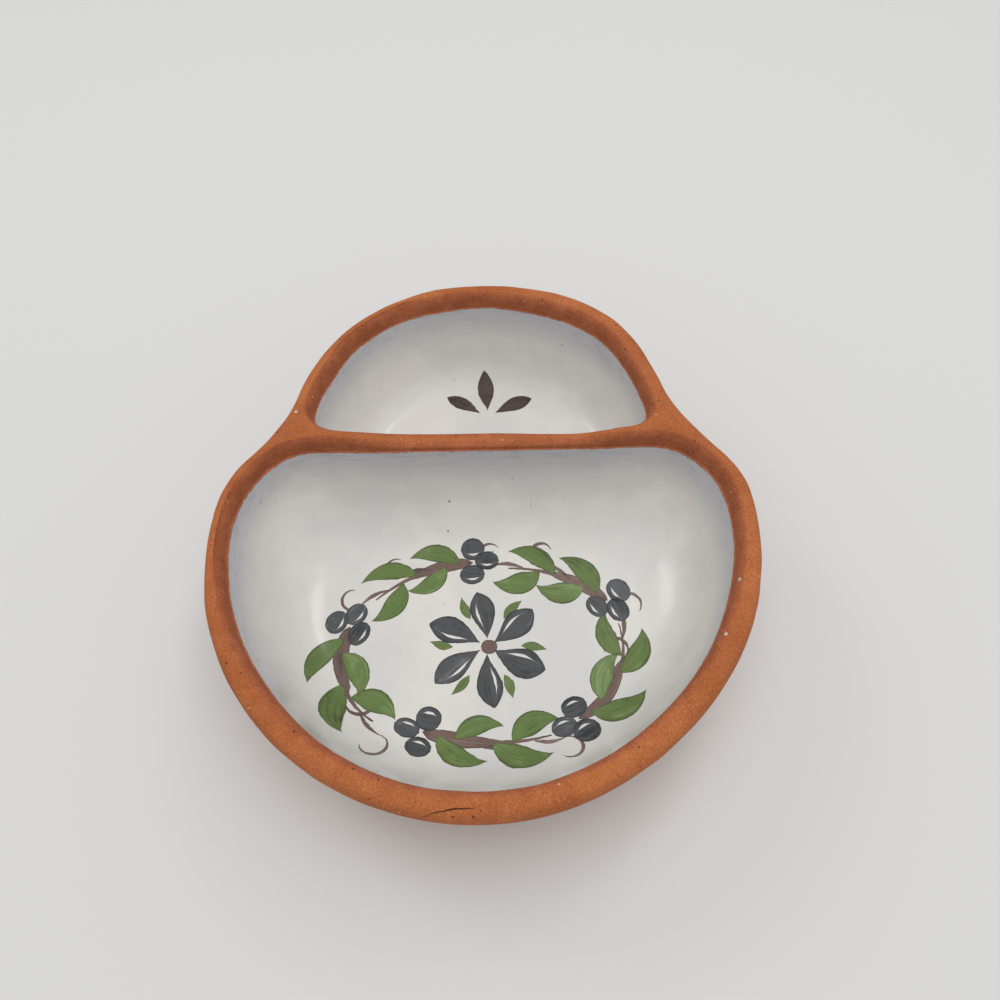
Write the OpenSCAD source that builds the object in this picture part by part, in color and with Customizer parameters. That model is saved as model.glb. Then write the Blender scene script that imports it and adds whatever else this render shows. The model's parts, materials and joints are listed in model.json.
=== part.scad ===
// Two-compartment olive dish in unglazed terracotta.
// A round main bowl and a half-moon pit dish are luted to the two faces of a slab,
// and each compartment carries a lining of white glaze.
// The dish stands on Z = 0, with the bowl towards -Y and the pit dish towards +Y.

/* [Overall] */
// Height from the table to the top of the rim
dish_height = 44; // [36:1:54]

/* [Main bowl] */
// Width of the bowl over its rim
bowl_w = 165; // [154:1:178]
// Outer radius of the shoulders, where the bowl turns in to the neck
shoulder_r = 32; // [24:1:40]
// Angle past the widest point at which the shoulders begin
shoulder_turn = 7; // [2:1:12]
// Radius of the inside corners beside the divider
bowl_corner_r = 22; // [16:1:32]
// Run of the curved inner wall, from under the lip to the flat floor
bowl_cove = 26; // [16:1:30]

/* [Pit dish] */
// Width of the pit dish over its rim
pit_w = 126; // [114:1:136]
// Distance from the middle of the divider back to the far rim
pit_reach = 70; // [61:1:83]
// Radius of the inside corners beside the divider
pit_corner_r = 9; // [7:1:14]
// Run of the curved inner wall, from under the lip to the flat floor
pit_cove = 19; // [12:1:22]

/* [Neck and divider] */
// Radius of the hollow neck between the two compartments
neck_r = 60; // [48:1:80]
// Distance from the centre of the bowl back to the middle of the divider
divider_back = 34.5; // [31:0.5:41]
// Thickness of the finished divider under its crown
divider_t = 6.2; // [4.8:0.1:8]
// Thickness of the slab in the middle of the divider
slab_t = 2.2; // [1.6:0.1:3.4]
// How far the crown of the divider sags in its middle, below the rim
divider_dip = 3; // [0:0.5:4]

/* [Wall] */
// Width of the rim, from the outside to the inner face under the lip
rim_w = 7.4; // [6.4:0.1:9.5]
// Width of the rounded outer part of the rim
crown_w = 4; // [2.6:0.1:5]
// Height of the rounded crown, above the straight part of the wall
crown_h = 3.8; // [2.6:0.1:5]
// How far the base stands inside the rim
base_inset = 23; // [14:1:27]
// Fullness of the outer wall: 1 is a straight cone, more is rounder
belly_share = 1.6; // [1.2:0.1:2.2]
// Small bevel round the base
base_bevel = 1.4; // [0.6:0.1:2.5]
// Thickness of the clay floor
floor_t = 7; // [5:0.5:10]

/* [Glaze] */
// Thickness of the glaze lining
glaze_t = 0.6; // [0.3:0.1:1]
// Drop from the top of the rim to the edge of the glaze
glaze_drop = 6.6; // [5.6:0.1:10]

/* [Hidden] */

// Driving radii and centres, all on the line Y that halves the dish
bowl_r = bowl_w / 2;
pit_r = pit_w / 2;
dish_length = bowl_r + divider_back + pit_reach;
bowl_y = bowl_r - dish_length / 2;
pit_y = dish_length / 2 - pit_r;

// The three stations of the divider: the slab's two faces, where the vessels
// are luted on, and its middle
divider_y = bowl_y + divider_back;
bowl_back_y = divider_y - slab_t / 2;
pit_front_y = divider_y + slab_t / 2;

// Middle of the pit dish's floor, where its fans of faces meet
pit_floor_y = (pit_front_y + dish_length / 2 - base_inset) / 2;

// Flat land that is left between the rounded edges of the rim
land_w = 0.3;
lip_w = rim_w - crown_w - land_w;
divider_lip_w = (divider_t - slab_t) / 2 - land_w;

// Heights of the ring under the crown, of the floor and of the glaze's edge
wall_top_z = dish_height - crown_h;
inner_h = wall_top_z - floor_t;
glaze_z = dish_height - glaze_drop;

// The two hollows under their lips: radius of the round wall, and distance of
// the divider's face from the centre of that radius
bowl_in_r = bowl_r - rim_w;
bowl_in_flat = divider_back - divider_t / 2;
pit_in_r = pit_r - rim_w;
pit_in_flat = pit_y - divider_y - divider_t / 2;

// Half the length over which the divider's crown sags
dip_reach = pit_in_r - pit_corner_r;

// Points on each stretch of a half ring, and levels on each stretch of a wall
bowl_round_n = 22;
shoulder_n = 8;
neck_n = 4;
pit_round_n = 18;
pit_neck_n = 8;
flat_n = 6;
wall_levels = 7;
crown_levels = 5;
cove_levels = 8;

// Points that the left half of a ring has more than the right, so that no facet is
// the exact mirror image of another
left_more = 3;

// Colours
clay = [0.72, 0.40, 0.24];
clay_pit = [0.76, 0.44, 0.27];
clay_slab = [0.66, 0.35, 0.20];
glaze = [0.90, 0.91, 0.93];

// Points on an arc, without its last one, which belongs to the next stretch
function arc(centre, r, from, to, n) = [
    for (i = [0 : n - 1])
        let (a = from + (to - from) * i / n)
        centre + r * [cos(a), sin(a)]
];

// Points on a straight stretch, without its last one
function line(from, to, n) = [for (i = [0 : n - 1]) from + (to - from) * i / n];

// A whole ring from its right half and the mirror image of a left one. The first
// and last points of a half lie on X = 0, and belong to the right
function whole(right, left) = concat(
    right,
    [for (i = [len(left) - 2 : -1 : 1]) [-left[i].x, left[i].y]]
);

// Centre of a circle that touches two others from outside, on their right
function touching(c1, r1, c2, r2, r) =
    let (
        d = norm(c2 - c1),
        along = ((r1 + r) * (r1 + r) - (r2 + r) * (r2 + r) + d * d) / (2 * d),
        across = sqrt(max((r1 + r) * (r1 + r) - along * along, 0)),
        u = (c2 - c1) / d
    )
    c1 + along * u + across * [u.y, -u.x];

// The dish's outline, drawn in by an inset: the shoulders shrink with the bowl,
// and the neck is the hollow arc that touches shoulder and pit dish. A hollow arc
// has its radius negative, because it is seen from outside its circle
function shoulder_at(inset) = shoulder_r * (bowl_r - inset) / bowl_r;
function neck_at(inset) = neck_r + inset;
function shoulder_c(inset) =
    [0, bowl_y] + (bowl_r - inset - shoulder_at(inset)) * [cos(shoulder_turn), sin(shoulder_turn)];
function neck_c(inset) =
    touching(shoulder_c(inset), shoulder_at(inset), [0, pit_y], pit_r - inset, neck_at(inset));
function bearing(from, to) = atan2(to.y - from.y, to.x - from.x);
function neck_turn_at(y, inset) = asin((neck_c(inset).y - y) / neck_at(inset));
function neck_point(y, inset) =
    let (a = neck_turn_at(y, inset))
    neck_c(inset) - neck_at(inset) * [cos(a), sin(a)];

// Half of the bowl's outline, from the front to the middle of its flat back. This
// and the next three add some points, more, to the round stretch of a half
function bowl_outline(inset, more) =
    let (turn = bearing(shoulder_c(inset), neck_c(inset)))
    concat(
        arc([0, bowl_y], bowl_r - inset, -90, shoulder_turn, bowl_round_n + more),
        arc(shoulder_c(inset), shoulder_at(inset), shoulder_turn, turn, shoulder_n),
        arc(neck_c(inset), -neck_at(inset), turn, neck_turn_at(bowl_back_y, inset), neck_n),
        line(neck_point(bowl_back_y, inset), [0, bowl_back_y], flat_n),
        [[0, bowl_back_y]]
    );

// Half of the pit dish's outline, from the middle of its flat front to the back
function pit_outline(inset, more) =
    let (turn = bearing([0, pit_y], neck_c(inset)))
    concat(
        line([0, pit_front_y], neck_point(pit_front_y, inset), flat_n),
        arc(neck_c(inset), -neck_at(inset), neck_turn_at(pit_front_y, inset), turn, pit_neck_n),
        arc([0, pit_y], pit_r - inset, turn, 90, pit_round_n + more),
        [[0, pit_y + pit_r - inset]]
    );

// Half of a hollow: a round wall about the origin, a corner, and a flat wall
// that lies square to +Y
function hollow(r, flat, corner_r, round_n, corner_n) =
    let (
        y = flat - corner_r,
        x = sqrt(max((r - corner_r) * (r - corner_r) - y * y, 0)),
        turn = atan2(y, x)
    )
    concat(
        arc([0, 0], r, -90, turn, round_n),
        arc([x, y], corner_r, turn, 90, corner_n),
        line([x, flat], [0, flat], flat_n),
        [[0, flat]]
    );

function bowl_hollow(inset, flat_inset, more) = [
    for (p = hollow(
        bowl_in_r - inset,
        bowl_in_flat - flat_inset,
        bowl_corner_r * (bowl_in_r - inset) / bowl_in_r,
        bowl_round_n + more,
        shoulder_n + neck_n
    ))
        [p.x, bowl_y + p.y]
];

// The pit dish's hollow is the same form turned round, so its points run backwards
function pit_hollow(inset, flat_inset, more) =
    let (half = hollow(
        pit_in_r - inset,
        pit_in_flat - flat_inset,
        pit_corner_r * (pit_in_r - inset) / pit_in_r,
        pit_round_n + more,
        pit_neck_n
    ))
    [for (i = [len(half) - 1 : -1 : 0]) [half[i].x, pit_y - half[i].y]];

// Levels of the outer wall, as [inset, height]: bevelled base, full belly, round crown
outer_levels = concat(
    [[base_inset + base_bevel, 0]],
    [
        for (i = [0 : wall_levels - 1])
            let (u = i / wall_levels)
            [base_inset * pow(1 - u, belly_share), base_bevel + (wall_top_z - base_bevel) * u]
    ],
    [
        for (i = [0 : crown_levels - 1])
            let (a = 90 * i / (crown_levels - 1))
            [crown_w * (1 - cos(a)), wall_top_z + crown_h * sin(a)]
    ]
);

// Levels of the lip, as [inset of the round wall, inset of the divider's face, height]
lip_levels = [
    for (i = [0 : crown_levels - 2])
        let (a = 90 - 90 * i / (crown_levels - 1))
        [-lip_w * (1 - cos(a)), -divider_lip_w * (1 - cos(a)), wall_top_z + crown_h * sin(a)]
];

// Foot of the lip, where the inner wall begins
under_lip = [[0, 0, wall_top_z]];

// The inner wall is a quarter ellipse that runs out flat into the floor. Its
// levels are sunk into the hollow by the glaze's thickness for the glaze's own face
glaze_turn = asin((wall_top_z - glaze_z) / inner_h);
function cove_level(cove, a, sunk) =
    let (into = [inner_h * cos(a), cove * sin(a)] / norm([inner_h * cos(a), cove * sin(a)]))
    [
        cove * (1 - cos(a)) + sunk * into.x,
        cove * (1 - cos(a)) + sunk * into.x,
        wall_top_z - inner_h * sin(a) + sunk * into.y
    ];
function cove_levels_of(cove, sunk) = [
    for (i = [0 : cove_levels - 1])
        cove_level(cove, glaze_turn + (90 - glaze_turn) * i / (cove_levels - 1), sunk)
];
function reversed(list) = [for (i = [len(list) - 1 : -1 : 0]) list[i]];

// The divider's crown is pressed down towards its middle. The clay above the glaze's
// edge takes up the sag, and the rest of the dish keeps its heights
function sag(x) = divider_dip * pow(max(1 - pow(x / dip_reach, 2), 0), 2);
function crown_share(z) = max((z - glaze_z) / glaze_drop, 0);
function on_divider(p) = abs(p.y - divider_y) < divider_t;

// Whole rings of each vessel, raised to their heights: outer wall, then hollow
function raised(ring, z) = [
    for (p = ring)
        [p.x, p.y, z - (on_divider(p) ? sag(p.x) * crown_share(z) : 0)]
];
function bowl_outside(levels) = [
    for (l = levels)
        raised(whole(bowl_outline(l[0], 0), bowl_outline(l[0], left_more)), l[1])
];
function bowl_inside(levels) = [
    for (l = levels)
        raised(whole(bowl_hollow(l[0], l[1], 0), bowl_hollow(l[0], l[1], left_more)), l[2])
];
function pit_outside(levels) = [
    for (l = levels)
        raised(whole(pit_outline(l[0], 0), pit_outline(l[0], left_more)), l[1])
];
function pit_inside(levels) = [
    for (l = levels)
        raised(whole(pit_hollow(l[0], l[1], 0), pit_hollow(l[0], l[1], left_more)), l[2])
];

// Closed skin over a stack of rings with as many points each, from a pole under
// the first ring to a pole over the last
module skin(rings, first_pole, last_pole) {
    n = len(rings[0]);
    last = len(rings) - 1;
    top = len(rings) * n + 1;
    points = concat([first_pole], [for (ring = rings) for (p = ring) p], [last_pole]);
    sides = [
        for (i = [0 : last - 1])
            for (j = [0 : n - 1])
                let (
                    a = 1 + i * n + j,
                    b = 1 + i * n + (j + 1) % n
                )
                for (face = [[a, a + n, b + n], [a, b + n, b]])
                    face
    ];
    under = [for (j = [0 : n - 1]) [0, 1 + j, 1 + (j + 1) % n]];
    over = [for (j = [0 : n - 1]) [top, top - n + (j + 1) % n, top - n + j]];
    polyhedron(points = points, faces = concat(sides, under, over), convexity = 6);
}

// Round front vessel: its flat back is luted to the slab
module main_bowl() {
    hollow_levels = concat(lip_levels, under_lip, cove_levels_of(bowl_cove, 0));
    color(clay)
        skin(
            concat(bowl_outside(outer_levels), bowl_inside(hollow_levels)),
            [0, bowl_y, 0],
            [0, bowl_y, floor_t]
        );
}

// Half-moon vessel for the pits: its flat front is luted to the slab
module pit_dish() {
    hollow_levels = concat(lip_levels, under_lip, cove_levels_of(pit_cove, 0));
    color(clay_pit)
        skin(
            concat(pit_outside(outer_levels), pit_inside(hollow_levels)),
            [0, pit_floor_y, 0],
            [0, pit_floor_y, floor_t]
        );
}

// Slab between the two vessels, cut to the section of the neck at each station
module divider_wall() {
    function crown(y) =
        let (half_w = neck_point(y, crown_w).x)
        [
            for (p = line([half_w, y], [-half_w, y], 2 * flat_n))
                [p.x, y, dish_height - sag(p.x)]
        ];
    function section(y) = concat(
        [for (l = outer_levels) if (l[1] < dish_height) [neck_point(y, l[0]).x, y, l[1]]],
        crown(y),
        [for (l = reversed(outer_levels)) [-neck_point(y, l[0]).x, y, l[1]]]
    );
    middle_z = dish_height / 2;
    color(clay_slab)
        skin(
            [section(pit_front_y), section(divider_y), section(bowl_back_y)],
            [0, pit_front_y, middle_z],
            [0, bowl_back_y, middle_z]
        );
}

// Linings of glaze, which lie on the clay and end in an even line under the lip
module bowl_glaze() {
    on_clay = reversed(cove_levels_of(bowl_cove, 0));
    face = cove_levels_of(bowl_cove, glaze_t);
    color(glaze)
        skin(bowl_inside(concat(on_clay, face)), [0, bowl_y, floor_t], [0, bowl_y, floor_t + glaze_t]);
}

module pit_glaze() {
    on_clay = reversed(cove_levels_of(pit_cove, 0));
    face = cove_levels_of(pit_cove, glaze_t);
    color(glaze)
        skin(
            pit_inside(concat(on_clay, face)),
            [0, pit_floor_y, floor_t],
            [0, pit_floor_y, floor_t + glaze_t]
        );
}

main_bowl();
divider_wall();
pit_dish();
bowl_glaze();
pit_glaze();
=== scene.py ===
# %% [markdown]
# # A terracotta olive dish in two compartments
#
# The dish is one body of red clay, with a round bowl for the olives in front and a
# half-moon dish for the pits behind. A potter lutes the two together, smooths the
# joins away with a wet sponge, fires the body, and pours a white glaze into each
# hollow. The glaze is painted with a brush.
#
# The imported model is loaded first. It holds the sizes, so the clay, the glaze and the
# painting made here are worked out from its boxes.

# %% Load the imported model
import json
import math
import random

import bpy
from mathutils import Matrix, Vector, noise

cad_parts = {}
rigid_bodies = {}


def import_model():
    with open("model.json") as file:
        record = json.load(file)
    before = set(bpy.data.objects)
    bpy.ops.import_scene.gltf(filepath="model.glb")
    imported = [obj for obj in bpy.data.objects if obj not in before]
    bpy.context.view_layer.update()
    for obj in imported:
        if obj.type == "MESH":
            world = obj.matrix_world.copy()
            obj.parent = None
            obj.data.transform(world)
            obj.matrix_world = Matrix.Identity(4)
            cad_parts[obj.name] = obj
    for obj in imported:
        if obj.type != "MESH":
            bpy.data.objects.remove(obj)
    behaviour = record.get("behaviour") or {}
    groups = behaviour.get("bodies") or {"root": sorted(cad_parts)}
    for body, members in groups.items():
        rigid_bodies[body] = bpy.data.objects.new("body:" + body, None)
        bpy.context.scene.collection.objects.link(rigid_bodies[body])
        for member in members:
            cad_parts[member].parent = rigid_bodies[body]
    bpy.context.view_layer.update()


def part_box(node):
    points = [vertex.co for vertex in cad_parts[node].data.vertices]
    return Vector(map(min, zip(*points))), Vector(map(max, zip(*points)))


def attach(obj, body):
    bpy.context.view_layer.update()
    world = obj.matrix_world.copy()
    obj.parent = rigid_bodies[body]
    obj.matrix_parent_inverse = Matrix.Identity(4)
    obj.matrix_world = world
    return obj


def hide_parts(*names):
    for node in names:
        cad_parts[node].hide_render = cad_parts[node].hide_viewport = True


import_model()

MM = 0.001
bowl_low, bowl_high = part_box("main_bowl")
pit_low, pit_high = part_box("pit_dish")

# %% [markdown]
# ## The camera
#
# The photograph looks down into the dish from close by. A camera is easiest to place
# from what it looks at: a point on the rim's plane, the angle of the view, and the
# distance. The dish is turned a little under it, and the frame is tilted a little,
# as in any picture taken by hand.

# %% Camera
photo_side = 1000
photo_focal = 751
film_side = 36
look_down = math.radians(58)
dish_turn = math.radians(-1.86)
frame_tilt = math.radians(-2.66)
camera_distance = 231 * MM
aim = Vector((5.2, -0.9, 40.2)) * MM

turned = Matrix.Rotation(-dish_turn, 3, "Z")
forward = turned @ Vector((0, math.cos(look_down), -math.sin(look_down)))
level_up = turned @ Vector((0, math.sin(look_down), math.cos(look_down)))
level_right = turned @ Vector((1, 0, 0))
frame_right = math.cos(frame_tilt) * level_right + math.sin(frame_tilt) * level_up
frame_up = math.cos(frame_tilt) * level_up - math.sin(frame_tilt) * level_right

camera_data = bpy.data.cameras.new("camera")
camera_data.sensor_width = film_side
camera_data.lens = photo_focal * film_side / photo_side
camera_data.clip_start = 10 * MM
camera = bpy.data.objects.new("camera", camera_data)
bpy.context.scene.collection.objects.link(camera)
bpy.context.scene.camera = camera
stance = Matrix((frame_right, frame_up, -forward)).transposed().to_4x4()
camera.matrix_world = Matrix.Translation(turned @ aim - forward * camera_distance) @ stance
print("camera lens in mm:", round(camera_data.lens, 2))

# %% [markdown]
# ## The sizes of the form
#
# The wall's plan is drawn with tangent arcs: the round bowl, a shoulder, a hollow
# neck, and the round pit dish. Where the shoulder ends and the neck begins follows
# from the radii, as it would with a pair of compasses.

# %% Sizes
height = bowl_high.z
back_y = pit_high.y
front_y = bowl_low.y
bowl_r = bowl_high.x
bowl_y = front_y + bowl_r
pit_r = 63 * MM
pit_y = back_y - pit_r
divider_y = (bowl_high.y + pit_low.y) / 2
divider_t = 5.6 * MM

shoulder_r = 32 * MM
shoulder_turn = 7
neck_r = 60 * MM
bowl_corner_r = 22 * MM
pit_corner_r = 9 * MM

rim_w = 7.4 * MM
crown_h = 3.8 * MM
crown_run = 2.6 * MM
wall_top = height - crown_h
floor_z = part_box("bowl_glaze")[0].z
base_inset = 23 * MM
base_bevel = 1.4 * MM
base_lip = 0.3 * base_bevel
base_hollow = 0.5 * MM
floor_dip = 0.7 * MM
belly_curve = 1.6
bowl_cove = 26 * MM
pit_cove = 19 * MM

bowl_in_r = bowl_r - rim_w
bowl_flat_y = divider_y - divider_t / 2
pit_in_r = pit_r - rim_w
pit_flat_y = divider_y + divider_t / 2
print("bowl radius, pit dish radius in mm:", round(bowl_r / MM, 1), round(pit_r / MM, 1))

# %% [markdown]
# ## A pen for the plan
#
# Three lines make the dish: the outside, and the edge of each hollow. Each is drawn
# by hand in edit mode. A plane is merged to a single point, the point is spun round a
# centre to make an arc, and extruded to make a straight stretch. Only the right half
# is drawn, because a Mirror modifier gives the left. Spin counts its angle clockwise
# when Blender runs without a window, so the sign is turned.

# %% The pen
plan_grain = 1.3 * MM


def polar(x, y, distance, angle):
    """The point at a distance from another, in the direction of an angle."""
    return x + distance * math.cos(angle), y + distance * math.sin(angle)


def edit_mode():
    bpy.ops.object.mode_set(mode="EDIT")


def object_mode():
    bpy.ops.object.mode_set(mode="OBJECT")


class Pen:
    """One point that spins and extrudes itself into a line on the plane z."""

    def __init__(self, name, x, y, z):
        bpy.ops.object.select_all(action="DESELECT")
        bpy.ops.mesh.primitive_plane_add(size=MM)
        self.piece = bpy.context.object
        self.piece.name = self.piece.data.name = name
        edit_mode()
        bpy.ops.mesh.select_mode(type="VERT")
        bpy.ops.mesh.select_all(action="SELECT")
        bpy.ops.mesh.merge(type="CENTER")
        bpy.ops.transform.translate(value=(x, y, z))
        self.x, self.y, self.z = x, y, z

    def arc(self, x, y, degrees):
        start = math.atan2(self.y - y, self.x - x)
        radius = math.hypot(self.x - x, self.y - y)
        sweep = math.radians(degrees)
        steps = max(3, round(abs(sweep) * radius / plan_grain))
        bpy.ops.mesh.spin(steps=steps, angle=-sweep, center=(x, y, self.z), axis=(0, 0, 1))
        self.x, self.y = polar(x, y, radius, start + sweep)

    def line(self, x, y):
        steps = max(1, round(math.hypot(x - self.x, y - self.y) / plan_grain))
        step = ((x - self.x) / steps, (y - self.y) / steps, 0)
        for _ in range(steps):
            bpy.ops.mesh.extrude_region_move(TRANSFORM_OT_translate={"value": step})
        self.x, self.y = x, y


# %% [markdown]
# ## The three lines
#
# The neck's centre touches two circles from outside, and is found with the law of
# cosines. Each hollow is a round wall that turns through a corner onto the straight
# face of the divider.

# %% Lines of the plan
def bearing(from_point, to_point):
    return math.degrees(math.atan2(to_point[1] - from_point[1], to_point[0] - from_point[0]))


def outside_line():
    shoulder = polar(0, bowl_y, bowl_r - shoulder_r, math.radians(shoulder_turn))
    span = math.hypot(shoulder[0], pit_y - shoulder[1])
    to_shoulder, to_pit = shoulder_r + neck_r, pit_r + neck_r
    opening = math.acos((to_shoulder**2 + span**2 - to_pit**2) / (2 * to_shoulder * span))
    lean = math.radians(bearing(shoulder, (0, pit_y))) - opening
    neck = polar(*shoulder, to_shoulder, lean)
    into_neck, into_pit = bearing(shoulder, neck), bearing((0, pit_y), neck)
    pen = Pen("outside", 0, front_y, wall_top)
    pen.arc(0, bowl_y, 90 + shoulder_turn)
    pen.arc(*shoulder, into_neck - shoulder_turn)
    pen.arc(*neck, into_pit - into_neck)
    pen.arc(0, pit_y, 90 - into_pit)
    return pen.piece


def hollow_line(name, radius, centre_y, flat_y, corner_r):
    side = 1 if flat_y > centre_y else -1
    corner_y = side * (flat_y - centre_y) - corner_r
    corner_x = math.sqrt((radius - corner_r) ** 2 - corner_y**2)
    turn = math.degrees(math.atan2(corner_y, corner_x))
    pen = Pen(name, 0, centre_y - side * radius, wall_top)
    pen.arc(0, centre_y, side * (90 + turn))
    pen.arc(corner_x, centre_y + side * corner_y, side * (90 - turn))
    pen.line(0, flat_y)
    return pen.piece


def bowl_line():
    return hollow_line("bowl_line", bowl_in_r, bowl_y, bowl_flat_y, bowl_corner_r)


def pit_line():
    return hollow_line("pit_line", pit_in_r, pit_y, pit_flat_y, pit_corner_r)


# %% [markdown]
# ## Pulling a line into a wall
#
# A drawn line is extruded level by level, and scaled about the middle of its own
# outline at each, which pulls it in like clay between two fingers. The last levels
# shrink to a pole, and the pole's points are merged.

# %% Pull a wall
floor_shares = (0.84, 0.68, 0.52, 0.36, 0.2, 0)
least_share = 1e-6


def pull(levels, middle_y, half_x, half_y):
    """Moves the selected line to the first level (inset, z), and extrudes it through the rest."""
    inset, z = 0, wall_top
    for count, (next_inset, next_z) in enumerate(levels):
        rise = {"value": (0, 0, next_z - z)}
        if count:
            bpy.ops.mesh.extrude_region_move(TRANSFORM_OT_translate=rise)
        else:
            bpy.ops.transform.translate(**rise)
        grow_x = (half_x - next_inset) / (half_x - inset)
        grow_y = (half_y - next_inset) / (half_y - inset)
        bpy.ops.transform.resize(value=(grow_x, grow_y, 1), center_override=(0, middle_y, next_z))
        inset, z = next_inset, next_z


def close_at_pole(middle_y, z, sink):
    """Shrinks the selected line to a pole in its middle, which lies lower by sink."""
    share, depth = 1, 0
    for next_share in floor_shares:
        next_depth = sink * (1 - next_share**2)
        down = {"value": (0, 0, depth - next_depth)}
        bpy.ops.mesh.extrude_region_move(TRANSFORM_OT_translate=down)
        next_share = max(next_share, least_share)
        grow = next_share / share
        bpy.ops.transform.resize(value=(grow, grow, 1), center_override=(0, middle_y, z))
        share, depth = next_share, next_depth
    bpy.ops.mesh.merge(type="CENTER")
    object_mode()


def cove(run, turn, sunk=0):
    """A point of the inner wall's quarter ellipse, sunk into the hollow along its normal."""
    rise = wall_top - floor_z
    into = Vector((rise * math.cos(turn), run * math.sin(turn))).normalized() * sunk
    return run * (1 - math.cos(turn)) + into.x, wall_top - rise * math.sin(turn) + into.y


# %% [markdown]
# ## The clay body
#
# The outside falls from the rim to the base with a full belly, and each hollow falls
# in a quarter ellipse to its floor. The three walls are joined, and the gap between
# their top edges, which is the rim and the divider seen from above, is filled with
# one face. Insets of that face, each a little higher than the last, round the crown
# on rim and divider at once, and the join between them comes out smooth.

# %% Clay walls
wall_steps = 14
cove_steps = 18
half_bowl_y = (bowl_flat_y - bowl_y + bowl_in_r) / 2
half_pit_y = (pit_y + pit_in_r - pit_flat_y) / 2
bowl_middle = bowl_flat_y - half_bowl_y
pit_middle = pit_flat_y + half_pit_y


def only(*pieces):
    """Makes these pieces the only ones selected, and the first of them active."""
    bpy.ops.object.select_all(action="DESELECT")
    for piece in pieces:
        piece.select_set(True)
    bpy.context.view_layer.objects.active = pieces[0]


def join(pieces, name):
    """Joins pieces into the first of them."""
    only(*pieces)
    bpy.ops.object.join()
    piece = bpy.context.object
    piece.name = piece.data.name = name
    return piece


def clay_outside():
    piece = outside_line()
    bpy.ops.mesh.select_all(action="SELECT")
    levels = []
    for step in range(wall_steps + 1):
        share = 1 - step / wall_steps
        inset = base_inset * (1 - share) ** belly_curve
        levels.append((inset, base_bevel + (wall_top - base_bevel) * share))
    levels.append((base_inset + base_lip, base_lip))
    levels.append((base_inset + base_bevel, 0))
    pull(levels, 0, bowl_r, back_y)
    close_at_pole(0, 0, -base_hollow)
    return piece


def clay_hollow(piece, run, middle_y, half_x, half_y):
    bpy.ops.mesh.select_all(action="SELECT")
    levels = [cove(run, math.radians(90 * step / cove_steps)) for step in range(cove_steps + 1)]
    pull(levels, middle_y, half_x, half_y)
    close_at_pole(middle_y, floor_z, floor_dip)
    return piece


walls = [
    clay_outside(),
    clay_hollow(bowl_line(), bowl_cove, bowl_middle, bowl_in_r, half_bowl_y),
    clay_hollow(pit_line(), pit_cove, pit_middle, pit_in_r, half_pit_y),
]
clay = join(walls, "clay_body")
print("clay walls:", len(clay.data.vertices), "points")

# %% Fill the rim
tiny = 0.01 * MM


def select_points(piece, wanted):
    """Selects the points of a piece whose place passes a test, and goes to edit mode."""
    only(piece)
    edit_mode()
    bpy.ops.mesh.select_mode(type="VERT")
    bpy.ops.mesh.select_all(action="DESELECT")
    object_mode()
    for point in piece.data.vertices:
        point.select = bool(wanted(point.co))
    edit_mode()


def add_left_half(piece):
    """Mirrors the right half of the active piece, and turns all its faces outwards."""
    mirror = piece.modifiers.new("left half", "MIRROR")
    mirror.merge_threshold = tiny
    bpy.ops.object.modifier_apply(modifier=mirror.name)
    edit_mode()
    bpy.ops.mesh.select_all(action="SELECT")
    bpy.ops.mesh.normals_make_consistent(inside=False)
    object_mode()


def on_rim(co):
    return abs(co.z - wall_top) < tiny


gaps = (
    (front_y - tiny, front_y + rim_w + tiny),
    (bowl_flat_y - tiny, pit_flat_y + tiny),
    (back_y - rim_w - tiny, back_y + tiny),
)
for low, high in gaps:
    select_points(clay, lambda co: on_rim(co) and abs(co.x) < tiny and low <= co.y <= high)
    bpy.ops.mesh.edge_face_add()
    object_mode()
select_points(clay, on_rim)
bpy.ops.mesh.edge_face_add()
object_mode()
rim_face = max(clay.data.polygons, key=lambda face: len(face.vertices))
print("rim face has", len(rim_face.vertices), "corners and looks", round(rim_face.normal.z, 2))

# %% Round the crown
crown_steps = 7
edit_mode()
bpy.ops.mesh.select_mode(type="FACE")
if rim_face.normal.z < 0:
    bpy.ops.mesh.flip_normals()
run, rise = 0, 0
for step in range(1, crown_steps + 1):
    turn = math.radians(90 * step / crown_steps)
    next_run, next_rise = crown_run * (1 - math.cos(turn)), crown_h * math.sin(turn)
    bpy.ops.mesh.inset(
        thickness=next_run - run,
        depth=next_rise - rise,
        use_even_offset=True,
        use_boundary=False,
    )
    run, rise = next_run, next_rise
bpy.ops.mesh.quads_convert_to_tris(ngon_method="BEAUTY")
object_mode()
add_left_half(clay)
bpy.ops.object.shade_smooth()
print("clay body:", len(clay.data.polygons), "faces")

# %% [markdown]
# ## The glaze linings
#
# Glaze is poured in, swirled and poured out again, so it lies on the clay as a skin
# and ends in an uneven line under the lip. A lining is pulled from the same pen line
# as its hollow, half a millimetre off the clay, with close rows near its edge. A
# vertex group sinks all that lies above a wavering line back into the clay, and
# Solidify gives the skin a back that is hidden in the clay.

# %% Glaze skins
glaze_skin = 0.5 * MM
glaze_line_z = 37.4 * MM
glaze_rows = 13
row_step = 0.34 * MM
rows_above = 4


def turn_at(z):
    return math.asin((wall_top - z) / (wall_top - floor_z))


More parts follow.
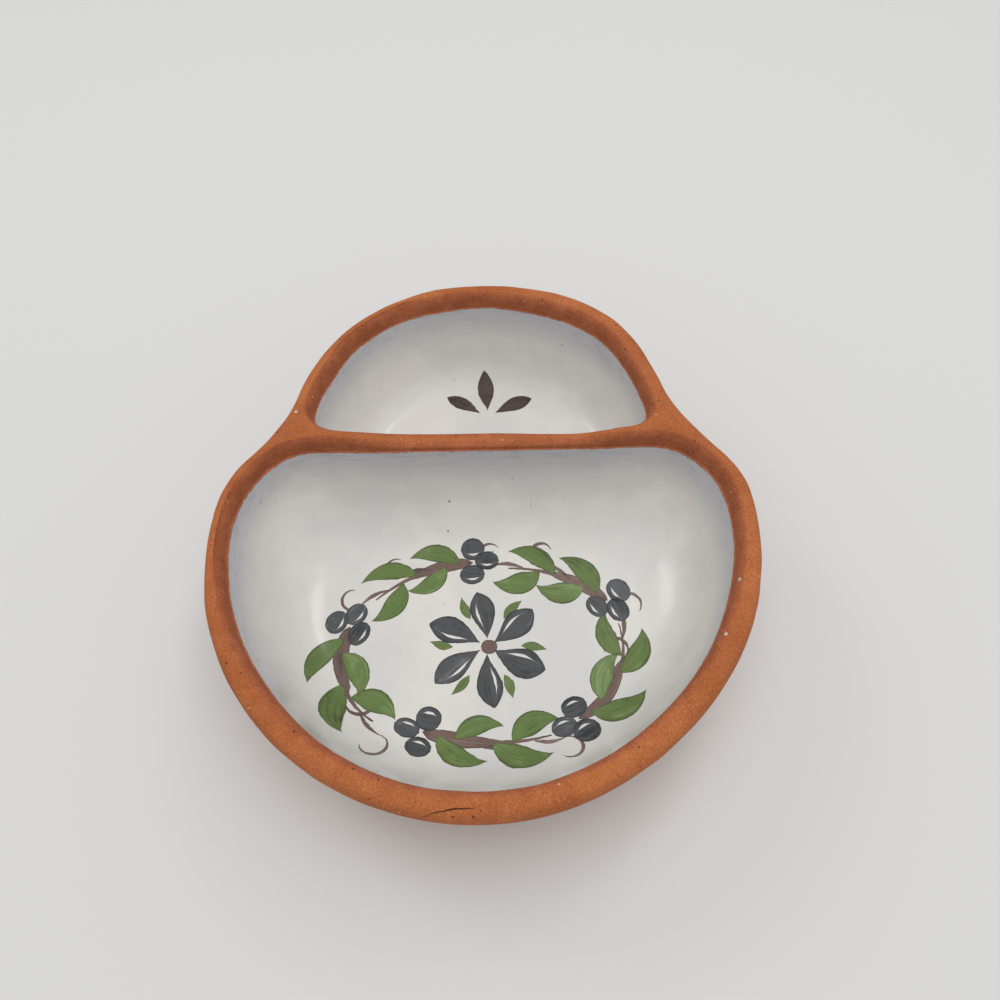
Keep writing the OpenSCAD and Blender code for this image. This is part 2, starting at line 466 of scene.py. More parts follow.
def glaze_lining(name, piece, run, middle_y, half_x, half_y):
    bpy.ops.mesh.select_all(action="SELECT")
    turns = [turn_at(glaze_line_z + (rows_above - row) * row_step) for row in range(glaze_rows)]
    last = turns[-1]
    turns += [last + (math.pi / 2 - last) * step / cove_steps for step in range(1, cove_steps + 1)]
    pull([cove(run, turn, glaze_skin) for turn in turns], middle_y, half_x, half_y)
    close_at_pole(middle_y, floor_z, floor_dip)
    piece.name = piece.data.name = name
    add_left_half(piece)
    floor_face = min(piece.data.polygons, key=lambda face: face.center.z)
    if floor_face.normal.z < 0:
        edit_mode()
        bpy.ops.mesh.flip_normals()
        object_mode()
    return piece


bowl_lining = glaze_lining(
    "bowl_glaze_lining", bowl_line(), bowl_cove, bowl_middle, bowl_in_r, half_bowl_y
)
pit_lining = glaze_lining(
    "pit_glaze_lining", pit_line(), pit_cove, pit_middle, pit_in_r, half_pit_y
)
print("linings:", len(bowl_lining.data.vertices), "and", len(pit_lining.data.vertices), "points")

# %% [markdown]
# ### The edge of the glaze
#
# The line wavers slowly where the glaze was swirled, and finely where it crept into
# the clay's pores. The distance of each point below the line is kept as an attribute,
# because the material tints the thin edge with it.

# %% Wavering glaze line
edge_softness = 0.5
bare_strip = 0.35
edge_sink = 0.85 * MM
glaze_back = 1.1 * MM
slow_waves, quick_waves = 26, 190
slow_sway, quick_sway = 0.7, 0.35


def clamped(value):
    return min(max(value, 0), 1)


def eased(value):
    """0 below 0, 1 above 1, and smooth between them."""
    share = clamped(value)
    return share * share * (3 - 2 * share)


def line_waver(x, y, seed):
    """How far the glaze line stands above its even height, in metres."""
    slow = noise.noise(Vector((x, y, seed)) * slow_waves + Vector((0, 0, seed)))
    quick = noise.noise(Vector((x, y, 0)) * quick_waves + Vector((0, 0, seed)))
    return (slow_sway * slow + quick_sway * quick) * MM


def finish_lining(piece, seed):
    sunk = piece.vertex_groups.new(name="sunk edge")
    depths = []
    for point in piece.data.vertices:
        x, y, z = point.co
        depths.append((glaze_line_z + line_waver(x, y, seed) - z) / MM)
    for index, depth in enumerate(depths):
        sunk.add([index], eased(0.5 - (depth + bare_strip) / edge_softness), "REPLACE")
    below = piece.data.attributes.new("below_line", "FLOAT", "POINT")
    below.data.foreach_set("value", depths)
    only(piece)
    dip = piece.modifiers.new("edge dips into the clay", "DISPLACE")
    dip.vertex_group = sunk.name
    dip.mid_level = 0
    dip.strength = -edge_sink
    skin = piece.modifiers.new("back of the skin", "SOLIDIFY")
    skin.thickness = glaze_back
    skin.offset = -1
    skin.use_even_offset = True
    for modifier in (dip, skin):
        bpy.ops.object.modifier_apply(modifier=modifier.name)
    bpy.ops.object.shade_smooth()
    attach(piece, "root")


for lining, seed in ((bowl_lining, 3.1), (pit_lining, 8.4)):
    finish_lining(lining, seed)
print("the glaze ends", round((height - glaze_line_z) / MM, 1), "mm under the rim")

# %% [markdown]
# ## The maker's hand
#
# A pressed dish is never quite true. The divider's crown sags in its middle, where no
# rim holds it up, and the glaze there sags with it. A few nudges then push the form
# where the real dish is out of round: its right front and its right neck lie further
# in than the left ones, and its left wall is thinner. A nudge is a vertex group that
# fades with distance and towards the base, and a Displace modifier that moves it.
# Nudges that overlap add up.

# %% Which way the clay looks
def inwardness(point):
    """How far a point's surface looks inwards, to the middle of the nearer hollow."""
    middle = bowl_middle if point.co.y < divider_y else pit_middle
    to_middle = Vector((-point.co.x, middle - point.co.y)).normalized()
    if abs(point.co.y - divider_y) < divider_t and abs(point.co.x) < bowl_r / 2:
        to_middle = Vector((0, math.copysign(1, middle - point.co.y)))
    return max(to_middle.dot(point.normal.xy), 0)


inward = [inwardness(point) for point in clay.data.vertices]
print("points that look inwards:", sum(value > 0.5 for value in inward))

# %% Nudges
divider_dip = 4.4 * MM
dip_reach = 50 * MM
crown_fade = 3 * divider_t
crown_hold = 0.7
# x and y of the place, the push along X and Y, and the reach, all in mm
nudges = {
    "right front": (58, -64, -1.5, 1.4, 78),
    "right neck": (68, 52, -2.4, -1.2, 34),
    "back": (0, 94, 0, -1.9, 52),
}
bowl_wall_nudges = {
    "left": (-72, -20, -2.4, 0, 50),
    "left corner": (-58, 24, -2.6, 0.8, 26),
    "left, behind its middle": (-76, -4, -1.3, 0, 24),
    "right": (72, -5, 1.4, 0, 34),
    "right corner": (56, 23, 1.5, 0.5, 22),
}
pit_wall_nudges = {
    "left": (-46, 66, -2.3, 1.7, 34),
    "left corner": (-54, 36, -2.4, 0, 22),
    "back left": (-30, 84, -0.8, 1.6, 20),
    "back": (-8, 92, 0, 1.4, 34),
    "right corner": (34, 32, 0, -1.5, 34),
}


def displace(piece, weights, axis, strength):
    """Moves a piece's points along an axis, each by its weight's share of the strength."""
    group = piece.vertex_groups.new(name="moved along " + axis)
    for index, weight in enumerate(weights):
        group.add([index], weight, "REPLACE")
    only(piece)
    move = piece.modifiers.new("move", "DISPLACE")
    move.direction = axis
    move.mid_level = 0
    move.strength = strength
    move.vertex_group = group.name
    bpy.ops.object.modifier_apply(modifier=move.name)


def sag_share(co):
    across = max(1 - (co.x / dip_reach) ** 4, 0) ** 2
    up = max(co.z - glaze_line_z, 0) / (height - glaze_line_z)
    return across * up if abs(co.y - divider_y) < divider_t else 0


def nudge(piece, shares, x, y, push_x, push_y, reach):
    weights = []
    for point, share in zip(piece.data.vertices, shares):
        near = eased(1 - math.hypot(point.co.x / MM - x, point.co.y / MM - y) / reach)
        weights.append(share * clamped(point.co.z / height) * near)
    for axis, amount in (("X", push_x), ("Y", push_y)):
        if amount:
            displace(piece, weights, axis, amount * MM)


def inner_share(point, value):
    """How far a point goes with its inner wall: fully on the wall, and less up the crown."""
    if point.co.z <= wall_top + tiny:
        return float(value > 0)
    from_divider = min(abs(point.co.y - divider_y) / crown_fade, 1)
    return value ** (1 - crown_hold * from_divider)


def whole(piece):
    return [1] * len(piece.data.vertices)


# the shares come before the sag, which lowers the crown to where only the wall was
bowl_wall, pit_wall = [], []
for value, point in zip(inward, clay.data.vertices):
    share, on_pit_side = inner_share(point, value), point.co.y > divider_y
    bowl_wall.append(share * (not on_pit_side))
    pit_wall.append(share * on_pit_side)
for piece in (clay, bowl_lining, pit_lining):
    displace(piece, [sag_share(point.co) for point in piece.data.vertices], "Z", -divider_dip)
for piece, shares, places in (
    (clay, whole(clay), nudges),
    (clay, bowl_wall, bowl_wall_nudges),
    (clay, pit_wall, pit_wall_nudges),
    (bowl_lining, whole(bowl_lining), nudges),
    (bowl_lining, whole(bowl_lining), bowl_wall_nudges),
    (pit_lining, whole(pit_lining), nudges),
    (pit_lining, whole(pit_lining), pit_wall_nudges),
):
    for place in places.values():
        nudge(piece, shares, *place)
print("nudges made:", len(nudges) + len(bowl_wall_nudges) + len(pit_wall_nudges))

# %% [markdown]
# ### Unevenness
#
# Clouds of noise push every point a little along X, Y and Z, more at the rim and not at
# all at the base, so that the dish still stands flat. Clay and glaze are pushed by the
# same clouds, and stay together. A finer cloud then acts on the bare clay of the rim
# alone, where wet fingers went round.

# %% Unevenness
sway = 0.6 * MM
sway_size = 40 * MM
finger_sway = 0.5 * MM
finger_size = 13 * MM
fingers_above_line = 1.2 * MM
fingers_fade = 2.4 * MM


def clouds(name, size, depth=0):
    texture = bpy.data.textures.new(name, "CLOUDS")
    texture.noise_scale = size
    texture.noise_depth = depth
    return texture


def push(piece, group, texture, direction, strength):
    modifier = piece.modifiers.new("push " + direction, "DISPLACE")
    modifier.texture = texture
    modifier.texture_coords = "LOCAL"
    modifier.direction = direction
    modifier.strength = strength
    modifier.vertex_group = group
    bpy.ops.object.modifier_apply(modifier=modifier.name)


stretch = {"X": 1, "Y": 1.13, "Z": 0.9}
slow_clouds = {axis: clouds("slow " + axis, sway_size * stretch[axis]) for axis in "XYZ"}
for piece in (clay, bowl_lining, pit_lining):
    lifted = piece.vertex_groups.new(name="height")
    for point in piece.data.vertices:
        lifted.add([point.index], clamped(point.co.z / height), "REPLACE")
    only(piece)
    for axis in "XYZ":
        push(piece, "height", slow_clouds[axis], axis, sway)
fingered = clay.vertex_groups.new(name="fingered rim")
for point in clay.data.vertices:
    share = (point.co.z - glaze_line_z - fingers_above_line) / fingers_fade
    fingered.add([point.index], clamped(share), "REPLACE")
only(clay)
push(clay, "fingered rim", clouds("fingers", finger_size, 1), "NORMAL", finger_sway)
print("rim top now at", round(max(v.co.z for v in clay.data.vertices) / MM, 2), "mm")

# %% [markdown]
# ### The inner face of the rim
#
# The bare clay inside the lip is darker and pinker than the crown, because glaze was
# wiped off it. How far each point of the rim looks inwards goes into an attribute, and
# the clay's material reads it.

# %% Keep it for the finish
wiped_from = glaze_line_z - 2 * MM
inward = [
    value if point.co.z > wiped_from else 0 for value, point in zip(inward, clay.data.vertices)
]
clay.data.attributes.new("inward", "FLOAT", "POINT").data.foreach_set("value", inward)

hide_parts("bowl_glaze")
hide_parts("pit_glaze")
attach(clay, "root")
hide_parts("main_bowl", "divider_wall", "pit_dish")

# %% [markdown]
# ## Brush marks
#
# The painting is made of loaded-brush marks: the brush lands, swells, and lifts to a
# point. A mark starts as a grid, and each of its columns is scaled to the brush's
# print there. The grid's own UV map runs along the mark, so the paint's material can
# streak it lengthwise. Each copy is bent by Simple Deform, turned and placed.

# %% The brush
dice = random.Random(7)
mark_grain = 0.5 * MM
mark_rows = 8
least_print = 0.02
near_column = 0.3
above_dish = height + 20 * MM


def master_mark(name, length, width, print_at):
    """A straight mark about the origin. print_at gives its width at a share of its length."""
    columns = round(length / mark_grain)
    bpy.ops.object.select_all(action="DESELECT")
    bpy.ops.mesh.primitive_grid_add(x_subdivisions=columns, y_subdivisions=mark_rows, size=1)
    mark = bpy.context.object
    mark.name = name
    for column in range(columns + 1):
        share = column / columns
        x = share - 0.5
        select_points(mark, lambda co: abs(co.x - x) < near_column / columns)
        grow = (1, max(print_at(share), least_print), 1)
        bpy.ops.transform.resize(value=grow, center_override=(x, 0, 0))
        object_mode()
    edit_mode()
    bpy.ops.mesh.select_all(action="SELECT")
    bpy.ops.transform.resize(value=(length, width, 1), center_override=(0, 0, 0))
    object_mode()
    return mark


def leaf_print(u):
    return math.sin(math.pi * u**0.85) ** 1.1


def petal_print(u):
    return math.sin(math.pi * u**1.4) ** 0.8


def dot_print(u):
    return math.sqrt(max(1 - (2 * u - 1) ** 2, 0))


def stem_print(u):
    """Pressed down up to tail, and thinner from there on."""
    tail = 0.62
    pressed = math.sin(math.pi * min(u / tail, 1) ** 0.75)
    return 0.3 * min(u / 0.05, 1) + 0.7 * pressed - 0.2 * max(u - tail, 0) / (1 - tail)


def tendril_print(u):
    """Thickest in its middle, with a blunt start and a fine end."""
    swell = 0.35 + 0.65 * math.sin(math.pi * u) ** 2
    return swell * min(1, u / 0.03 + 0.4, (1 - u) / 0.1 + 0.2)


stem_length = 40 * MM
masters = {
    "leaf": master_mark("leaf", 21 * MM, 7 * MM, leaf_print),
    "petal": master_mark("petal", 17 * MM, 9 * MM, petal_print),
    "berry": master_mark("berry", 8.4 * MM, 7.4 * MM, dot_print),
    "stem": master_mark("stem", stem_length, 4.4 * MM, stem_print),
    "tendril": master_mark("tendril", 33 * MM, 1.35 * MM, tendril_print),
}
print("brush marks:", {name: len(mark.data.polygons) for name, mark in masters.items()})

# %% [markdown]
# ### The wreath
#
# The ground of a dish like this carries a garland of stems, leaves and berries round
# the floor. This one is an oval wreath of five stems with leaves on both sides,
# berries where the stems meet, and a rosette in the middle. The pit dish has a small
# spray of three petals. Every mark is shaken a little, as the hand does.

# %% Place the marks
wreath_x, wreath_y = 46 * MM, 30 * MM
wreath_middle = bowl_middle - 2.5 * MM
length_shake, width_shake, heading_shake = 0.07, 0.12, 5
painting = {}


def shaken(value, share):
    return value * (1 + dice.uniform(-share, share))


def paint(layer, kind, x, y, heading, bend=0, long=1, wide=1):
    """Copies a mark for a layer. The brush lands at x, y, sets off along a heading, and
    turns by bend. Returns the stroke as drawn: x, y, heading, bend and length."""
    only(masters[kind])
    bpy.ops.object.duplicate()
    mark = bpy.context.object
    tone = mark.data.attributes.new("tone", "FLOAT", "POINT")
    tone.data.foreach_set("value", [dice.random()] * len(mark.data.vertices))
    mark.scale = (shaken(long, length_shake), shaken(wide, width_shake), 1)
    length = mark.dimensions.x * mark.scale.x
    bpy.ops.object.transform_apply(location=False, rotation=False, scale=True)
    points = mark.data.vertices
    firsts = sorted({round(point.co.x, 7) for point in points})[:2]
    columns = [[p.index for p in points if abs(p.co.x - first) < tiny / 10] for first in firsts]
    if bend:
        curl = mark.modifiers.new("curl", "SIMPLE_DEFORM")
        curl.deform_method = "BEND"
        curl.deform_axis = "Z"
        curl.angle = bend
        bpy.ops.object.modifier_apply(modifier=curl.name)
    landing, second = (
        sum((mark.data.vertices[index].co for index in column), Vector()) / len(column)
        for column in columns
    )
    set_off = math.atan2(second.y - landing.y, second.x - landing.x)
    heading += math.radians(dice.uniform(-heading_shake, heading_shake))
    turn = Matrix.Rotation(heading - set_off, 4, "Z")
    where = Matrix.Translation((x, y, above_dish))
    mark.matrix_world = where @ turn @ Matrix.Translation(-landing)
    painting.setdefault(layer, []).append(mark)
    return x, y, heading, bend, length


def on_stroke(stroke, share):
    """The point on a bent stroke at a share of its length, and the heading there."""
    x, y, heading, bend, length = stroke
    half_turn = bend * share / 2
    chord = length * share * math.sin(half_turn) / half_turn
    return *polar(x, y, chord, heading + half_turn), heading + bend * share


def oval(degrees):
    angle = math.radians(degrees)
    return wreath_x * math.cos(angle), wreath_middle + wreath_y * math.sin(angle)


run_at = [0]
for degrees in range(360):
    run_at.append(run_at[-1] + math.dist(oval(degrees), oval(degrees + 1)))


def on_wreath(share, out=0):
    """A point out from the wreath at a share of its whole length, and the heading there."""
    run = share % 1 * run_at[-1]
    degrees = next(step for step in range(360) if run_at[step + 1] > run)
    x, y = oval(degrees)
    angle = math.radians(degrees)
    heading = math.atan2(wreath_y * math.cos(angle), -wreath_x * math.sin(angle))
    return *polar(x, y, out, heading - math.pi / 2), heading


# %% The stems, with their leaves, tendrils and berries
stems = 5
first_start, stem_share, stem_lean = 0.27, 0.155, 0.04
stem_long = stem_share * run_at[-1] / stem_length
# the share of the stem where a leaf sits, and its side
leaf_seats = ((0.12, -1), (0.26, 1), (0.55, -1), (0.7, 1))
leaf_lean = {1: math.radians(62), -1: math.radians(50)}
leaf_long = {1: 0.8, -1: 0.92}
leaf_bend = math.radians(74)
tendril_lean = 0.5
tendril_bend, tendril_curl = math.radians(50), math.radians(245)
tendril_long, curl_long, curl_wide = 0.34, 0.5, 0.85
curl_start = 0.97
# the share of the wreath from the stem's start, and how far out, in mm
berry_seats = ((-0.036, 0.5), (-0.014, 4.8), (-0.015, -4.2))

for number in range(stems):
    start = first_start + number / stems
    x, y, heading = on_wreath(start)
    turn = (on_wreath(start + stem_share)[2] - heading + math.pi) % (2 * math.pi) - math.pi
    stem = paint("bowl_stems", "stem", x, y, heading + stem_lean, turn, stem_long)
    for share, side in leaf_seats:
        x, y, heading = on_stroke(stem, share)
        heading += side * leaf_lean[side]
        paint("bowl_leaves", "leaf", x, y, heading, -side * leaf_bend, leaf_long[side])
    for share, side in ((0.4, 1 if number % 2 else -1), (0.84, -1)):
        x, y, heading = on_stroke(stem, share)
        heading += side * tendril_lean
        tendril = paint("bowl_stems", "tendril", x, y, heading, -side * tendril_bend, tendril_long)
        x, y, heading = on_stroke(tendril, curl_start)
        paint("bowl_stems", "tendril", x, y, heading, side * tendril_curl, curl_long, curl_wide)
    for step, out in berry_seats:
        x, y, heading = on_wreath(start + step, out * MM)
        paint("bowl_berries", "berry", x, y, heading, wide=0.95)

# %% The rosette and the spray
petals = 6
petal_start, leaf_start = 2.6 * MM, 10.92 * MM
petal_bend, between_bend = math.radians(16), math.radians(-24)
for number in range(petals):
    angle = math.radians(90 + 360 / petals * number)
    x, y = polar(0, wreath_middle, petal_start, angle)
    paint("bowl_berries", "petal", x, y, angle, petal_bend)
    angle += math.pi / petals
    x, y = polar(0, wreath_middle, leaf_start, angle)
    paint("bowl_leaves", "leaf", x, y, angle, between_bend, 0.4, 0.42)
paint("bowl_stems", "berry", -2 * MM, wreath_middle, 0, long=0.6, wide=0.6)

spray_y = pit_middle + 1.5 * MM
spray_start = 3.5 * MM
fan, fan_bend = 54, 18
for step in (-1, 0, 1):
    angle = math.radians(90 - fan * step)
    x, y = polar(0, spray_y, spray_start, angle)
    paint("pit_marks", "petal", x, y, angle, math.radians(-fan_bend * step), 0.9, 0.66)
print("marks placed:", {layer: len(marks) for layer, marks in painting.items()})

# %% [markdown]
# ### Laying the paint on the glaze
#
# The marks of a colour are joined above the dish. Clouds fray their edges, Shrinkwrap
# drops them straight down onto the glaze, and Solidify gives the film a back inside
# the glaze. Each colour lies a few hundredths of a millimetre above the one before it.

# %% Lay the paint
film = 0.02 * MM
film_back = 0.1 * MM
smooth_under = math.radians(40)
fray = 0.34 * MM
fray_size = 1.6 * MM
frays = {axis: clouds("fray " + axis, fray_size, 1) for axis in "XY"}


def lay_paint(layer, lining, coats):
    piece = join(painting[layer], layer)
    bpy.ops.object.transform_apply()
    for axis in "XY":
        push(piece, "", frays[axis], axis, fray)
    drop = piece.modifiers.new("drop onto the glaze", "SHRINKWRAP")
    drop.target = lining
    drop.wrap_method = "PROJECT"
    drop.use_project_z = True
    drop.use_positive_direction = False
    drop.use_negative_direction = True
    drop.offset = film * coats
    skin = piece.modifiers.new("back of the film", "SOLIDIFY")
    skin.thickness = film_back + film * coats
    skin.offset = -1
    for modifier in (drop, skin):
        bpy.ops.object.modifier_apply(modifier=modifier.name)
    missed = sum(point.co.z > wall_top for point in piece.data.vertices)
    print(layer, "has", len(piece.data.polygons), "faces, and", missed, "points off the glaze")
    bpy.ops.object.shade_smooth_by_angle(angle=smooth_under)
    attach(piece, "root")
    return piece


stem_paint = lay_paint("bowl_stems", bowl_lining, 1)
leaf_paint = lay_paint("bowl_leaves", bowl_lining, 2)
berry_paint = lay_paint("bowl_berries", bowl_lining, 3)
pit_paint = lay_paint("pit_marks", pit_lining, 1)
for mark in masters.values():
    bpy.data.objects.remove(mark)
print("marks laid:", sum(len(marks) for marks in painting.values()))

# %% [markdown]
# ## Finishes
#
# A finish is a sheet of nodes. Sums are easier to read as sums, so a small class
# wraps a socket and turns +, -, * and abs into Math nodes. Every other node comes from
# one method, which sets the node's choices first and then fills its sockets.

# %% Wires and sheets
class Wire:
    """A socket that can be calculated with."""

    def __init__(self, sheet, socket):
        self.sheet, self.socket = sheet, socket

    def __add__(self, other):
        return self.sheet.maths("ADD", self, other)

    def __sub__(self, other):
        return self.sheet.maths("SUBTRACT", self, other)

    def __rsub__(self, other):
        return self.sheet.maths("SUBTRACT", other, self)

    def __mul__(self, other):
        return self.sheet.maths("MULTIPLY", self, other)

    def __abs__(self):
        return self.sheet.maths("ABSOLUTE", self)

    __radd__, __rmul__ = __add__, __mul__


def named(sockets, key):
    """The socket with a number, or the one in use that has a name."""
    if isinstance(key, int):
        return sockets[key]
    return next(socket for socket in sockets if socket.name == key and socket.enabled)


class Sheet:
    """The nodes of one finish."""

    def __init__(self, owner):
        owner.use_nodes = True
        self.owner, self.tree = owner, owner.node_tree
        self.tree.nodes.clear()

    def node(self, kind, output, choices, sockets):
        node = self.tree.nodes.new(kind)
        for name, value in choices.items():
            setattr(node, name, value)
        for key, value in sockets.items():
            socket = named(node.inputs, key)
            if isinstance(value, Wire):
                self.tree.links.new(value.socket, socket)
            else:
                socket.default_value = value
        return Wire(self, named(node.outputs, output)) if output is not None else None

    def maths(self, operation, *values):
        return self.node("ShaderNodeMath", 0, {"operation": operation}, dict(enumerate(values)))

    def place(self):
        return self.node("ShaderNodeTexCoord", "Object", {}, {})

    def parts(self, vector):
        """The X, Y and Z of a vector."""
        return [self.node("ShaderNodeSeparateXYZ", axis, {}, {0: vector}) for axis in range(3)]

    def scaled(self, vector, by):
        """A vector times another, which stretches the pattern that is read at it."""
        return self.node("ShaderNodeVectorMath", 0, {"operation": "MULTIPLY"}, {0: vector, 1: by})

    def attribute(self, name):
        return self.node("ShaderNodeAttribute", "Fac", {"attribute_name": name}, {})

    def noise(self, vector, size, detail=2.0, seed=0.0, rough=0.5):
        """Noise about 0.5 with features of a size."""
        sockets = {"Vector": vector, "W": seed, "Scale": 1 / size}
        sockets |= {"Detail": detail, "Roughness": rough}
        return self.node("ShaderNodeTexNoise", 0, {"noise_dimensions": "4D"}, sockets)

    def step(self, value, low, high):
        """0 below low, 1 above high, and smooth between them."""
        sockets = {"Value": value, "From Min": low, "From Max": high}
        return self.node("ShaderNodeMapRange", 0, {"interpolation_type": "SMOOTHSTEP"}, sockets)

    def blend(self, factor, below, above):
        """A colour between two."""
        sockets = {"Factor": factor, "A": below, "B": above}
        return self.node("ShaderNodeMix", "Result", {"data_type": "RGBA"}, sockets)

    def layered(self, base, *coats):
        """A colour under coats, each of them a factor and its red, green and blue."""
        for factor, *levels in coats:
            base = self.blend(factor, base, colour(*levels))
        return base

    def specks(self, vector, spacing, radius, kept):
        """Round specks: 1 in a speck, 0 elsewhere. Only the kept share of the cells has one."""
        sockets = {"Vector": vector, "Scale": 1 / spacing}
        cell = self.node("ShaderNodeTexVoronoi", "Distance", {}, sockets)
        tint = self.node("ShaderNodeTexVoronoi", "Color", {}, sockets)
        draw = self.node("ShaderNodeSeparateColor", 0, {}, {0: tint})
        size = self.node("ShaderNodeSeparateColor", 1, {}, {0: tint}) * (0.7 * radius / spacing)
        reach = size + 0.3 * radius / spacing
        inside = self.step(reach - cell, 0, 0.25 * radius / spacing)
        return inside * self.maths("LESS_THAN", draw, kept)

    def bump(self, relief, depth):
        sockets = {"Height": relief, "Distance": depth, "Strength": 1.0}
        return self.node("ShaderNodeBump", "Normal", {}, sockets)

    def surface(self, varying, constant):
        """The Principled shader of the finish. What varies is linked, and the rest is set on it."""
        shader = self.node("ShaderNodeBsdfPrincipled", 0, {}, {**varying, **constant})
        self.node("ShaderNodeOutputMaterial", None, {}, {"Surface": shader})
        return self.owner


def colour(red, green, blue):
    """A colour as a paint chart gives it, from 11 to 255, made linear for the shader."""
    return (*(((level / 255 + 0.055) / 1.055) ** 2.4 for level in (red, green, blue)), 1)


# %% [markdown]
# ### Terracotta
#
# Fired red clay is never one red. Slow clouds make it paler and deeper, the inner face
# of the rim is darker and pinker, and the surface is like fine sandpaper, with pale grog
# grains, dark pits, a few flecks of glaze that fell on the rim, and one hairline crack
# from drying in the front of the rim. The crack is a thin band about a bowed line, and
# only a bump and a dark colour.

# %% Terracotta
clay_relief = 0.32 * MM
crack_front, crack_bow, crack_wobble = 90.2 * MM, 8.2, 1.3 * MM
crack_half, crack_edge = 0.2 * MM, 0.1 * MM
crack_from_z, crack_before_y = 38 * MM, -85 * MM


def clay_red(sheet, place, inner):
    """The fired clay's red, with its grain but without specks or cracks."""
    slow = sheet.noise(place, 30 * MM, 3.0)
    mottle = sheet.noise(place, 4.5 * MM, 4.0, 3.0, 0.6)
    grain = sheet.noise(place, 0.7 * MM, 3.0, 5.0, 0.7)
    sand = sheet.noise(place, 0.4 * MM, 2.0, 7.0)
    tone = slow * 0.6 + mottle * 0.4
    red = sheet.blend(sheet.step(tone, 0.38, 0.64), colour(170, 95, 53), colour(190, 113, 66))
    pink = sheet.blend(sheet.step(mottle, 0.35, 0.65), colour(160, 88, 57), colour(180, 103, 70))
    red = sheet.layered(
        sheet.blend(inner * 0.8, red, pink),
        (sheet.step(grain, 0.5, 0.34) * 0.3, 122, 64, 37),
        (sheet.step(sand, 0.5, 0.32) * 0.34, 112, 58, 34),
        (sheet.step(sand, 0.54, 0.7) * 0.4, 220, 154, 106),
    )
    return red, grain, sand, mottle


def terracotta():
    sheet = Sheet(bpy.data.materials.new("terracotta"))
    place = sheet.place()
    x, y, z = sheet.parts(place)
    ragged = sheet.noise(place, 6 * MM, 3.0, 2.0, 0.6)
    inner = sheet.step(sheet.attribute("inward") + 0.35 * (ragged - 0.5), 0.12, 0.62)
    red, grain, sand, mottle = clay_red(sheet, place, inner)
    pits = sheet.specks(place, 2.3 * MM, 0.4 * MM, 0.3)
    grog = sheet.specks(place, 2.9 * MM, 0.36 * MM, 0.26)
    flecks = sheet.specks(place, 9 * MM, 0.9 * MM, 0.5)
    flecks = flecks * sheet.step(z, wall_top - 1 * MM, wall_top)
    turning = sheet.noise(sheet.scaled(place, (0.12, 0.12, 1)), 1.5 * MM, 3.0, 9.0)
    turning = turning * (1 - sheet.step(z, wall_top - 2 * MM, wall_top))

    wobble = sheet.noise(place, 3 * MM, 3.0, 11.0, 0.7) - 0.5
    off_line = y + crack_front + crack_bow * x * x + crack_wobble * wobble
    open_at = sheet.step(x, -18 * MM, -6 * MM) * (1 - sheet.step(x, -4.5 * MM, 0.5 * MM))
    crack = sheet.step(open_at * crack_half - abs(off_line), 0, crack_edge)
    crack = crack * sheet.maths("GREATER_THAN", z, crack_from_z)
    crack = crack * sheet.maths("LESS_THAN", y, crack_before_y)

    red = sheet.layered(
        red,
        (pits * 0.75, 84, 40, 24),
        (grog * 0.8, 230, 194, 164),
        (flecks * 0.85, 214, 200, 188),
        (crack * 0.9, 60, 28, 18),
    )
    relief = grain * 0.9 + sand * 0.5 + mottle * 0.5 + turning * 0.6
    relief = relief - pits * 0.7 + grog * 0.15 - crack * 1.5
    varying = {
        "Base Color": red,
        "Roughness": 0.7 + 0.22 * grain,
        "Normal": sheet.bump(relief, clay_relief),
    }
    return sheet.surface(varying, {"IOR": 1.45, "Specular IOR Level": 0.3})


clay.data.materials.append(terracotta())
print("terracotta:", len(clay.data.materials[0].node_tree.nodes), "nodes")

# %% [markdown]
# ### White glaze
#
# Tin glaze is a warm white where it lies thick. Towards its edge it turns a darker,
# bluish grey: partly the tint of the thinning glaze, and partly painted shade on the
# steep walls under the lip. The very edge is a thin dark line in which the clay shows
# through. Pinholes, a few faint scratches and runs under the divider break the gloss.

# %% White glaze
glaze_swell = 0.35 * MM


def ground(sheet, place):
    """The white of the glaze, without its edge."""
    slow = sheet.noise(place, 30 * MM, 2.0, 1.0)
    mottle = sheet.noise(place, 7 * MM, 3.0, 2.0)
    tone = sheet.step(slow * 0.7 + mottle * 0.3, 0.38, 0.62)
    return sheet.blend(tone, colour(210, 209, 206), colour(220, 217, 211))


def glaze_relief(sheet, place):
    swell = sheet.noise(place, 9 * MM, 1.0, 12.0)
    skin = sheet.noise(place, 1.6 * MM, 1.0, 13.0)
    return swell + 0.05 * skin


